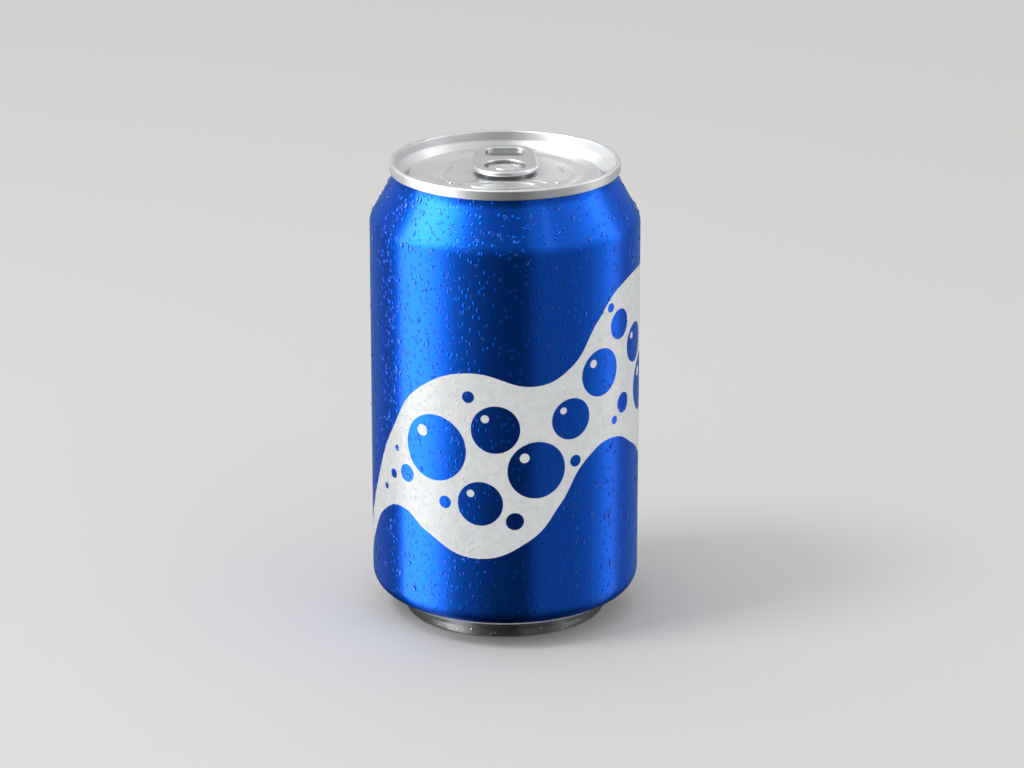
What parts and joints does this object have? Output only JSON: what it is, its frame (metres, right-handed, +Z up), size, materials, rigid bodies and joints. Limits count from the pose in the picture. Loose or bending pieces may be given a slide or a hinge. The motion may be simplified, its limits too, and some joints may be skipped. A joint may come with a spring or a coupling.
{
  "type": "drinks can",
  "caption": "Closed cylindrical drinks can with a necked shoulder, a domed base, a seamed easy-open end and a stay-on pull tab.",
  "frame": {"origin": "centre of the standing ring, on the surface the can stands on", "axes": "+Z up along the can's axis, -Y towards the front of the print and towards the mouth, +X to the right as seen from the front"},
  "size_m": [0.0662, 0.0662, 0.1152],
  "materials": {
    "body_lacquer": "transparent blue print over bright drawn aluminium, glossy varnish",
    "end_aluminium": "clear-lacquered rolled aluminium sheet, satin, grain along Y",
    "tab_aluminium": "clear-lacquered rolled aluminium sheet, satin"
  },
  "bodies": {
    "root": {"can_body": "body_lacquer", "easy_open_end": "end_aluminium", "pull_tab": "tab_aluminium"}
  },
  "joints": []
}
